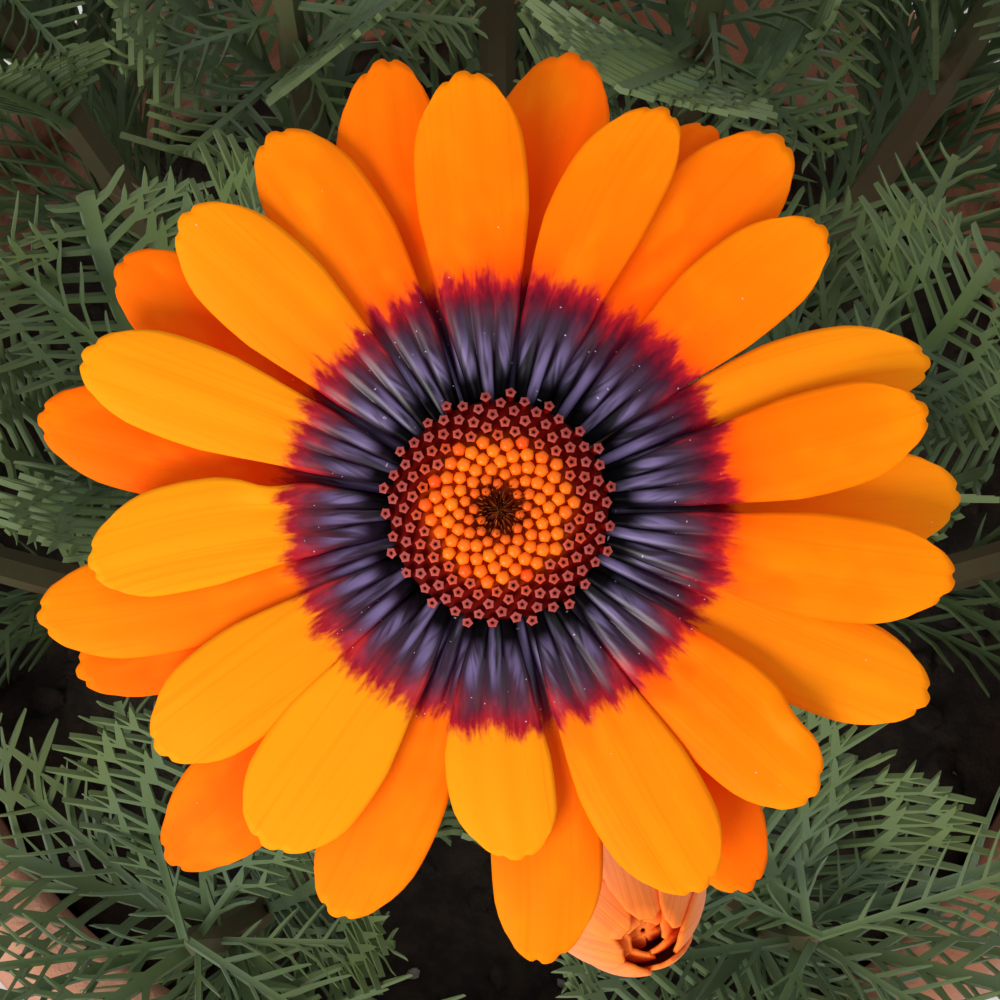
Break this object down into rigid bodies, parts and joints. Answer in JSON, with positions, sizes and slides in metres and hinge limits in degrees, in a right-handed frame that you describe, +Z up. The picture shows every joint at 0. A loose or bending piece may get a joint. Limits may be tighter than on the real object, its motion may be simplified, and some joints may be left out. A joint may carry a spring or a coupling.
{
  "type": "potted ursinia",
  "caption": "Flowering ursinia in a plain clay pot: feathery leaves on upright stems, orange daisy-like blooms with a dark ring round a disc of florets.",
  "frame": {"origin": "middle of the pot's flat underside", "axes": "+Z up along the pot's axis; -Y is the side that the main bloom leans to"},
  "size_m": [0.1644, 0.1587, 0.2357],
  "materials": {
    "clay": "matte",
    "soil": "matte",
    "foliage": "satin",
    "ray_petals": "satin",
    "disc_florets": "satin"
  },
  "bodies": {
    "root": {"pot": "clay", "soil": "soil", "leafy_stem_1": "foliage", "leafy_stem_2": "foliage", "leafy_stem_3": "foliage", "leafy_stem_4": "foliage", "leafy_stem_5": "foliage", "leafy_stem_6": "foliage", "leafy_stem_7": "foliage", "leafy_stem_8": "foliage", "leafy_stem_9": "foliage", "leafy_stem_10": "foliage", "leafy_stem_11": "foliage", "leafy_stem_12": "foliage", "main_bloom_rays": "ray_petals", "main_bloom_disc": "disc_florets", "bloom_2_rays": "ray_petals", "bloom_2_disc": "disc_florets", "bloom_3_rays": "ray_petals", "bloom_3_disc": "disc_florets", "closing_bloom_rays": "ray_petals", "closing_bloom_disc": "disc_florets", "bud_1_petals": "ray_petals", "bud_2_petals": "ray_petals", "bud_3_petals": "ray_petals"}
  },
  "joints": []
}
